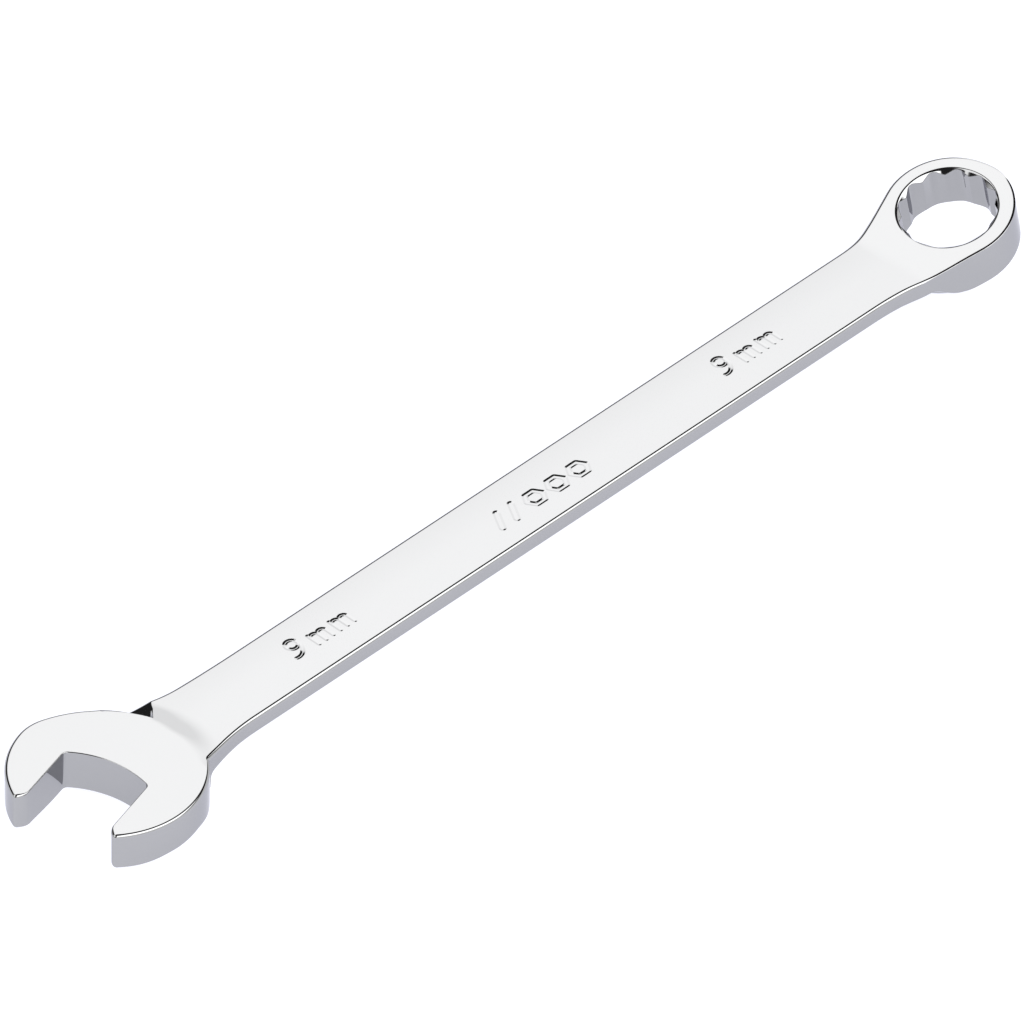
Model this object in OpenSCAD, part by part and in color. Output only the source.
// Combination wrench, 9 mm: a flat open end turned 15 degrees in its plane at
// one end of a slim shank, and a 12-point box end tilted up at the other. The
// real tool is one chrome-plated forging. It is drawn as its three named
// regions, which meet face to face at the two necks.
// The wrench lies flat: +X runs from the open end to the box end, +Z is up.

/* [Size] */
// Width across flats of the open jaw and of the box socket
across_flats = 9.1; // [6:0.05:20]
// Distance from the jaw centre to the box centre
centre_distance = 119; // [80:1:200]

/* [Open end] */
// Thickness of the open head
head_thickness = 4.5; // [3:0.1:10]
// Radius of the two flanks of the open head
head_radius = 9.6; // [6:0.1:20]
// Radius of the flatter back of the open head
back_radius = 12.55; // [8:0.05:30]
// Turn of the jaw away from the shank line
jaw_angle = 15; // [0:1:30]
// Depth of the throat behind the jaw centre
throat_depth = 2.65; // [1:0.05:8]
// Radius of the hollow of the throat
throat_radius = 10; // [6:0.5:30]
// Corner radius between the throat and the jaw flats
throat_corner = 0.6; // [0.2:0.1:2]
// Reach of the blunt jaw tips in front of the jaw centre
tip_reach = 6.3; // [4:0.05:6.8]

/* [Shank] */
// Width of the shank beside the open end
shank_width_open = 8.2; // [5:0.1:14]
// Width of the shank beside the box end
shank_width_box = 8.5; // [5:0.1:14]
// Thickness of the shank
shank_thickness = 2.3; // [1.8:0.1:6]
// Step down from the top face of the head to the top face of the shank
top_step = 0.32; // [0:0.02:1]
// Rounding of the two upper edges of the shank
shank_edge = 0.4; // [0.1:0.05:0.6]
// Rounding of the two lower edges of the shank
belly_edge = 1.1; // [0.2:0.05:1.1]
// Radius of the flare from the shank into the open head, near side
neck_flare = 25; // [5:1:60]
// Radius of the cove between the shank and the open head, far side
neck_cove = 11; // [1:0.5:16]

/* [Box end] */
// Outside radius of the ring
ring_radius = 6.85; // [5:0.05:14]
// Depth of the ring along its own axis
ring_depth = 5.2; // [3:0.1:12]
// Tilt of the ring, tip up
ring_tilt = 15.3; // [0:0.1:20]
// Height of the middle of the ring's top face above the middle of the head
ring_rise = 3.8; // [0:0.1:10]
// Radius of the lead-in cone where it opens into the ring's faces
socket_mouth = 5.36; // [5:0.02:8]
// Rounding of the ring's outer edges
ring_edge = 0.45; // [0.1:0.05:1.5]

/* [Hidden] */
$fn = 96;
eps = 0.05;

// where the tool is divided into its three regions
neck_open = 16;
neck_box = 103;
// the flare reaches this far into the head
neck_inside = 5;

// heights from the middle of the open head
head_half = head_thickness / 2;
shank_top = head_half - top_step;
shank_bottom = shank_top - shank_thickness;

// the two circles that bound the open head, centred in the jaw's own axes
flank_at = [-1.8, 0];
back_at = [2.31, 1.77];

back_tool = [-back_at[0] * cos(jaw_angle) + back_at[1] * sin(jaw_angle),
             -back_at[0] * sin(jaw_angle) - back_at[1] * cos(jaw_angle)];

// the corner where those two circles cross on the far side
gap_v = back_at - flank_at;
gap_d = norm(gap_v);
cross_k = (head_radius * head_radius - back_radius * back_radius + gap_d * gap_d) / (2 * gap_d);
cross_h = sqrt(head_radius * head_radius - cross_k * cross_k);
corner = [flank_at[0] + (gap_v[0] * cross_k + gap_v[1] * cross_h) / gap_d,
          flank_at[1] + (gap_v[1] * cross_k - gap_v[0] * cross_h) / gap_d];

// outermost points of the whole tool
flat_half = across_flats / 2;
tip_half = sqrt(pow(head_radius, 2) - pow(tip_reach - flank_at[0], 2));
low_x = -tip_reach * cos(jaw_angle) - tip_half * sin(jaw_angle);
ring_face = ring_radius - ring_edge;
high_x = centre_distance + ring_face * cos(ring_tilt)
         + (ring_depth - ring_edge) * sin(ring_tilt) + ring_edge;
low_y = -flank_at[0] * sin(jaw_angle) - head_radius;
high_y = -corner[0] * sin(jaw_angle) - corner[1] * cos(jaw_angle);
low_z = ring_rise - (ring_depth - ring_edge) * cos(ring_tilt)
        - ring_face * sin(ring_tilt) - ring_edge;

// the flare from ring to shank leaves the ring at this angle
flare_angle = 17;
touch = [-ring_radius * sin(flare_angle), ring_radius * cos(flare_angle)];
bend = -(ring_rise - shank_top) / sin(ring_tilt);
bend_half = touch[1] + (bend - touch[0]) * tan(flare_angle);
bend_x = centre_distance + bend * cos(ring_tilt);
flare_x = bend_x - (bend_half - shank_width_box / 2) / tan(flare_angle);

// puts the tool into its frame
module placed() {
  translate([-(low_x + high_x) / 2, -(low_y + high_y) / 2, -low_z]) children();
}

// the ring's own axes: origin in the middle of its top face
module on_ring() {
  translate([centre_distance, 0, ring_rise]) rotate([0, -ring_tilt, 0]) children();
}

// the gap between the jaws with its hollow throat, seen from above
module jaw_gap() {
  translate([0, -flat_half]) square([25, across_flats]);
  intersection() {
    translate([throat_radius - throat_depth, 0]) circle(r = throat_radius);
    union() {
      translate([-throat_depth - 1, -flat_half + throat_corner])
        square([throat_depth + 1 + eps, across_flats - 2 * throat_corner]);
      translate([-1.2, -flat_half]) square([1.2 + eps, across_flats]);
      for (side = [-1, 1])
        translate([-1.2, side * (flat_half - throat_corner)]) circle(r = throat_corner);
    }
  }
}

// outline of the open head in the jaw's own axes
module head_outline() {
  difference() {
    intersection() {
      translate(flank_at) circle(r = head_radius);
      translate(back_at) circle(r = back_radius);
    }
    jaw_gap();
    translate([tip_reach, -12]) square([12, 24]);
  }
}

// outline of the flare that joins the head to the shank, seen from above
module neck_outline() {
  far_edge = shank_width_open / 2 + 0.15;
  cove_y = far_edge + neck_cove;
  cove_x = back_tool[0] + sqrt(pow(back_radius + neck_cove, 2) - pow(cove_y - back_tool[1], 2));
  // the cove leaves the back of the head here
  meet_x = back_tool[0] + (cove_x - back_tool[0]) * back_radius / (back_radius + neck_cove);
  difference() {
    union() {
      translate([neck_inside, -8]) square([neck_open - neck_inside, 8]);
      translate([meet_x, -eps]) square([neck_open - meet_x, cove_y]);
    }
    translate([neck_open + 1, -shank_width_open / 2 - neck_flare]) circle(r = neck_flare);
    translate([cove_x, cove_y]) circle(r = neck_cove);
    translate([cove_x, far_edge]) square([neck_open, cove_y]);
    rotate([0, 0, 180 + jaw_angle]) jaw_gap();
  }
}

module open_end_head() {
  color([0.78, 0.79, 0.81]) placed() {
    translate([0, 0, -head_half]) rotate([0, 0, 180 + jaw_angle])
      linear_extrude(head_thickness) head_outline();
    translate([0, 0, shank_bottom]) linear_extrude(shank_thickness) neck_outline();
  }
}

// section of one side of the shank, its two outer edges rounded
module half_section() {
  reach = shank_width_open / 2;
  translate([-2, 0]) square([reach + 2 - belly_edge, shank_thickness]);
  translate([-2, belly_edge]) square([reach + 2 - shank_edge, shank_thickness - belly_edge]);
  translate([-2, belly_edge]) square([reach + 2, shank_thickness - belly_edge - shank_edge]);
  translate([reach - belly_edge, belly_edge]) circle(r = belly_edge);
  translate([reach - shank_edge, shank_thickness - shank_edge]) circle(r = shank_edge);
}

module shank() {
  span = neck_box - neck_open;
  taper = atan((shank_width_box - shank_width_open) / 2 / span);
  color([0.78, 0.79, 0.81]) placed()
    intersection() {
      translate([neck_open, -10, -10]) cube([span, 20, 20]);
      for (side = [0, 1]) mirror([0, side, 0])
        translate([neck_open, 0, shank_bottom]) rotate([0, 0, taper])
          translate([-5, 0, 0]) rotate([90, 0, 90]) linear_extrude(span + 10) half_section();
    }
}

// half profile of the ring about its axis, its outer edges rounded
module ring_profile() {
  translate([2, -ring_depth]) square([ring_face - 2, ring_depth]);
  translate([2, -ring_depth + ring_edge]) square([ring_radius - 2, ring_depth - 2 * ring_edge]);
  for (h = [-ring_edge, -ring_depth + ring_edge]) translate([ring_face, h]) circle(r = ring_edge);
}

// the 12-point socket with a lead-in cone at each face
module socket() {
  lead = socket_mouth - across_flats / 2;
  for (turn = [0, 30]) rotate([0, 0, turn])
    translate([0, 0, -ring_depth - 3]) cylinder(r = flat_half / cos(30), h = ring_depth + 6, $fn = 6);
  translate([0, 0, -lead]) cylinder(r1 = flat_half, r2 = socket_mouth + 3, h = lead + 3);
  translate([0, 0, -ring_depth - 3]) cylinder(r1 = socket_mouth + 3, r2 = flat_half, h = lead + 3);
}

module box_end_head() {
  color([0.78, 0.79, 0.81]) placed()
    difference() {
      union() {
        on_ring() rotate_extrude() ring_profile();
        // the flare, flat as far as the bend and tilted beyond it
        on_ring() translate([0, 0, -shank_thickness]) linear_extrude(shank_thickness)
          polygon([[bend, -bend_half], [touch[0], -touch[1]], [touch[0], touch[1]], [bend, bend_half]]);
        translate([0, 0, shank_bottom]) linear_extrude(shank_thickness)
          polygon([[neck_box, -shank_width_box / 2], [flare_x, -shank_width_box / 2],
                   [bend_x, -bend_half], [bend_x, bend_half],
                   [flare_x, shank_width_box / 2], [neck_box, shank_width_box / 2]]);
        translate([bend_x - eps, -bend_half, shank_bottom])
          cube([centre_distance - 4.5 - bend_x, 2 * bend_half, shank_thickness - 0.4]);
      }
      on_ring() socket();
    }
}

open_end_head();
shank();
box_end_head();
